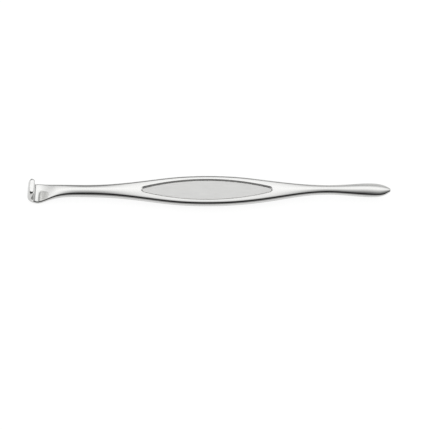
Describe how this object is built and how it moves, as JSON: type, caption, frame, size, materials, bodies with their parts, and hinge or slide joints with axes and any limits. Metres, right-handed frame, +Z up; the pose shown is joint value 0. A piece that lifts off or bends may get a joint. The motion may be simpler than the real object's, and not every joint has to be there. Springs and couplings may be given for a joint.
{
  "type": "handheld surgical retractor",
  "caption": "One-piece double-ended steel retractor: flat oval-panelled handle, wide blade with an upturned blunt lip at one end and a slim leaf-shaped blade at the other",
  "frame": {"origin": "on the surface the instrument lies on, under the middle of its overall length and width", "axes": "X along the handle towards the leaf-shaped blade, the bent blade at -X; Y across the handle; Z up, the way the blunt lip rises"},
  "size_m": [0.2219, 0.0206, 0.0117],
  "materials": {
    "steel": "polished forged stainless steel, with matt lengthwise grain on the floors of the oval panels"
  },
  "bodies": {
    "root": {"retractor": "steel"}
  },
  "joints": []
}
